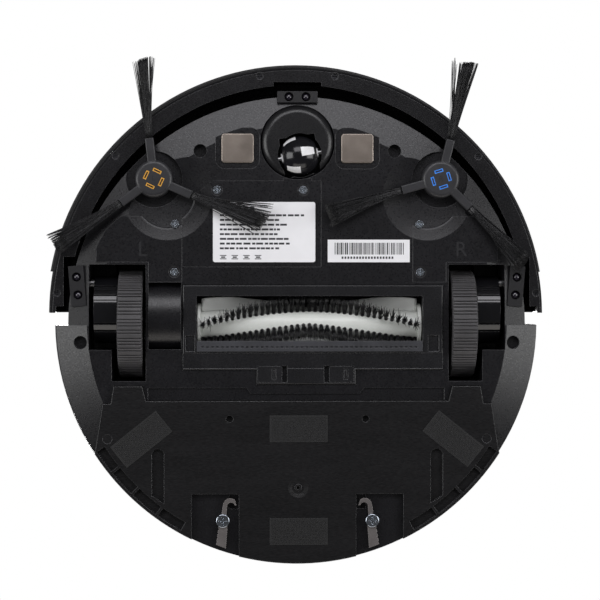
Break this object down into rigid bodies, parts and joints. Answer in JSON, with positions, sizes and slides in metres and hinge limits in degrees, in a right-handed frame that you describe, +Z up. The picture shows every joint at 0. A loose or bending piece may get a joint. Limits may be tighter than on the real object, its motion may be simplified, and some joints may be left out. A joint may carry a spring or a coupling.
{
  "type": "robot vacuum",
  "caption": "Round floor-cleaning robot with driven wheels, swivel caster, side brushes, roller brush under a lift-off guard, sprung bumper and sliding dust bin with mop plate.",
  "frame": {"origin": "on the floor, below the centre of the body", "axes": "+Z up; the front with the bumper is towards -Y; +X is the side of the right wheel cover"},
  "size_m": [0.3268, 0.33, 0.0806],
  "materials": {
    "chassis_plastic": "fine spark-eroded black",
    "inner_plastic": "plain moulded",
    "battery_wrap": "wrapped cells",
    "screw_steel": "zinc plated",
    "dark_screw": "black oxide",
    "motor_steel": "plain steel can",
    "drive_rubber": "belt",
    "board_green": "circuit board",
    "switch_plastic": "switch bodies",
    "contact_nickel": "warm nickel",
    "lens": "dark infrared lens",
    "label_paper": "white sticker film",
    "top_plastic": "satin black",
    "top_gloss": "high gloss black",
    "light_window": "clear white",
    "button_gloss": "gloss black",
    "pulley_plastic": "natural white",
    "bumper_plastic": "satin black",
    "bumper_rubber": "soft strip",
    "hub_satin": "dark grey satin",
    "insert_yellow": "amber",
    "insert_blue": "blue",
    "bristle": "nylon bristle",
    "cup_satin": "satin black",
    "caster_gloss": "gloss black and white",
    "roller_white": "off-white",
    "blade_white": "soft off-white",
    "guard_plastic": "satin black",
    "comb_rubber": "soft comb",
    "gearbox_gloss": "gloss black",
    "rim_plastic": "black",
    "tyre_rubber": "dark grey rubber",
    "bin_plastic": "satin black",
    "filter_paper": "pleated filter",
    "mop_plastic": "matte black, faint brushing",
    "hook_fabric": "black hook fabric",
    "lever_grey": "grey"
  },
  "bodies": {
    "chassis": {"base_chassis": "chassis_plastic", "wheel_covers": "chassis_plastic", "battery_cover": "chassis_plastic", "battery_pack": "battery_wrap", "chassis_screws": "screw_steel", "brush_gearbox_cover": "chassis_plastic", "brush_chamber": "inner_plastic", "suction_duct": "inner_plastic", "main_brush_motor": "motor_steel", "drive_belt": "drive_rubber", "main_board": "board_green", "blower_housing": "inner_plastic", "blower_motor": "motor_steel", "side_brush_motors": "motor_steel", "bumper_switches": "switch_plastic", "charging_contacts": "contact_nickel", "cliff_housings": "inner_plastic", "cliff_lenses": "lens", "labels": "label_paper", "pivot_pins": "motor_steel", "top_housing": "top_plastic", "top_plate": "top_gloss", "status_light": "light_window"},
    "brush_motor_rotor": {"motor_pulley": "pulley_plastic"},
    "fan": {"blower_impeller": "pulley_plastic"},
    "power_key": {"power_button": "button_gloss"},
    "home_key": {"home_button": "button_gloss"},
    "bumper": {"bumper_shell": "bumper_plastic", "bumper_screws": "dark_screw", "bumper_strip": "bumper_rubber"},
    "side_brush_left": {"left_brush_hub": "hub_satin", "left_brush_insert": "insert_yellow", "left_brush_bristles": "bristle"},
    "side_brush_right": {"right_brush_hub": "hub_satin", "right_brush_insert": "insert_blue", "right_brush_bristles": "bristle"},
    "caster_swivel": {"caster_cup": "cup_satin", "caster_axle": "motor_steel"},
    "caster_roller": {"caster_wheel": "caster_gloss"},
    "main_brush": {"roller_core": "roller_white", "roller_bristles": "bristle", "roller_blades": "blade_white"},
    "guard": {"brush_guard": "guard_plastic", "guard_comb": "comb_rubber"},
    "latch_left": {"guard_latch_left": "guard_plastic"},
    "latch_right": {"guard_latch_right": "guard_plastic"},
    "wheel_unit_left": {"gearbox_left": "gearbox_gloss"},
    "wheel_unit_right": {"gearbox_right": "gearbox_gloss"},
    "drive_wheel_left": {"rim_left": "rim_plastic", "tyre_left": "tyre_rubber"},
    "drive_wheel_right": {"rim_right": "rim_plastic", "tyre_right": "tyre_rubber"},
    "dust_bin": {"bin_shell": "bin_plastic", "bin_lid": "bin_plastic", "bin_filter": "filter_paper", "mop_plate": "mop_plastic", "hook_pads": "hook_fabric", "lever_screws": "screw_steel"},
    "lever_left": {"release_lever_left": "lever_grey"},
    "lever_right": {"release_lever_right": "lever_grey"}
  },
  "joints": [
    {"name": "bumper_press", "type": "slide", "parent": "chassis", "child": "bumper", "axis": [0, 1, 0], "range_m": [0, 0.005], "stiffness_N_per_m": 300, "springref_m": -0.004},
    {"name": "side_brush_left_spin", "type": "hinge", "parent": "chassis", "child": "side_brush_left", "pos_m": [-0.0925, -0.087, 0.01], "axis": [0, 0, 1], "continuous": true},
    {"name": "side_brush_right_spin", "type": "hinge", "parent": "chassis", "child": "side_brush_right", "pos_m": [0.0925, -0.087, 0.01], "axis": [0, 0, 1], "continuous": true},
    {"name": "main_brush_spin", "type": "hinge", "parent": "chassis", "child": "main_brush", "pos_m": [0.008, 0.0068, 0.025], "axis": [1, 0, 0], "continuous": true},
    {"name": "brush_motor_spin", "type": "hinge", "parent": "chassis", "child": "brush_motor_rotor", "pos_m": [-0.08, -0.029, 0.042], "axis": [1, 0, 0], "continuous": true},
    {"name": "fan_spin", "type": "hinge", "parent": "chassis", "child": "fan", "pos_m": [0.046, -0.05, 0.035], "axis": [0, 0, 1], "continuous": true},
    {"name": "caster_swivel_turn", "type": "hinge", "parent": "chassis", "child": "caster_swivel", "pos_m": [0, -0.111, 0.035], "axis": [0, 0, 1], "continuous": true},
    {"name": "caster_roll", "type": "hinge", "parent": "caster_swivel", "child": "caster_roller", "pos_m": [0.00144, -0.10242, 0.0125], "axis": [0.9863, -0.165, 0], "continuous": true},
    {"name": "wheel_drop_left", "type": "hinge", "parent": "chassis", "child": "wheel_unit_left", "pos_m": [-0.124, -0.02, 0.03], "axis": [-1, 0, 0], "range_deg": [0, 28], "stiffness_Nm_per_rad": 0.11, "springref_deg": 68.75},
    {"name": "wheel_left_spin", "type": "hinge", "parent": "wheel_unit_left", "child": "drive_wheel_left", "pos_m": [-0.108, 0.0066, 0.035], "axis": [1, 0, 0], "continuous": true},
    {"name": "wheel_drop_right", "type": "hinge", "parent": "chassis", "child": "wheel_unit_right", "pos_m": [0.124, -0.02, 0.03], "axis": [-1, 0, 0], "range_deg": [0, 28], "stiffness_Nm_per_rad": 0.11, "springref_deg": 68.75},
    {"name": "wheel_right_spin", "type": "hinge", "parent": "wheel_unit_right", "child": "drive_wheel_right", "pos_m": [0.108, 0.0066, 0.035], "axis": [1, 0, 0], "continuous": true},
    {"name": "guard_lift_off", "type": "slide", "parent": "chassis", "child": "guard", "axis": [0, 0, -1], "range_m": [0, 0.008], "deforming": ["left_brush_bristles", "right_brush_bristles"]},
    {"name": "latch_left_slide", "type": "slide", "parent": "guard", "child": "latch_left", "axis": [1, 0, 0], "range_m": [0, 0.003], "stiffness_N_per_m": 150, "springref_m": -0.002},
    {"name": "latch_right_slide", "type": "slide", "parent": "guard", "child": "latch_right", "axis": [-1, 0, 0], "range_m": [0, 0.003], "stiffness_N_per_m": 150, "springref_m": -0.002},
    {"name": "bin_slide", "type": "slide", "parent": "chassis", "child": "dust_bin", "axis": [0, 1, 0], "range_m": [0, 0.12]},
    {"name": "lever_left_swing", "type": "hinge", "parent": "dust_bin", "child": "lever_left", "pos_m": [-0.0482, 0.1332, 0.009], "axis": [0, 0, -1], "range_deg": [0, 15], "stiffness_Nm_per_rad": 0.02, "springref_deg": -17.19},
    {"name": "lever_right_swing", "type": "hinge", "parent": "dust_bin", "child": "lever_right", "pos_m": [0.0482, 0.1332, 0.009], "axis": [0, 0, 1], "range_deg": [0, 15], "stiffness_Nm_per_rad": 0.02, "springref_deg": -17.19},
    {"name": "power_press", "type": "slide", "parent": "chassis", "child": "power_key", "axis": [0, 0, -1], "range_m": [0, 0.0008], "stiffness_N_per_m": 600, "springref_m": -0.0008},
    {"name": "home_press", "type": "slide", "parent": "chassis", "child": "home_key", "axis": [0, 0, -1], "range_m": [0, 0.0008], "stiffness_N_per_m": 600, "springref_m": -0.0008}
  ],
  "couplings": [
    {"joint": "brush_motor_spin", "follows": "main_brush_spin", "ratio": 2.1333}
  ]
}
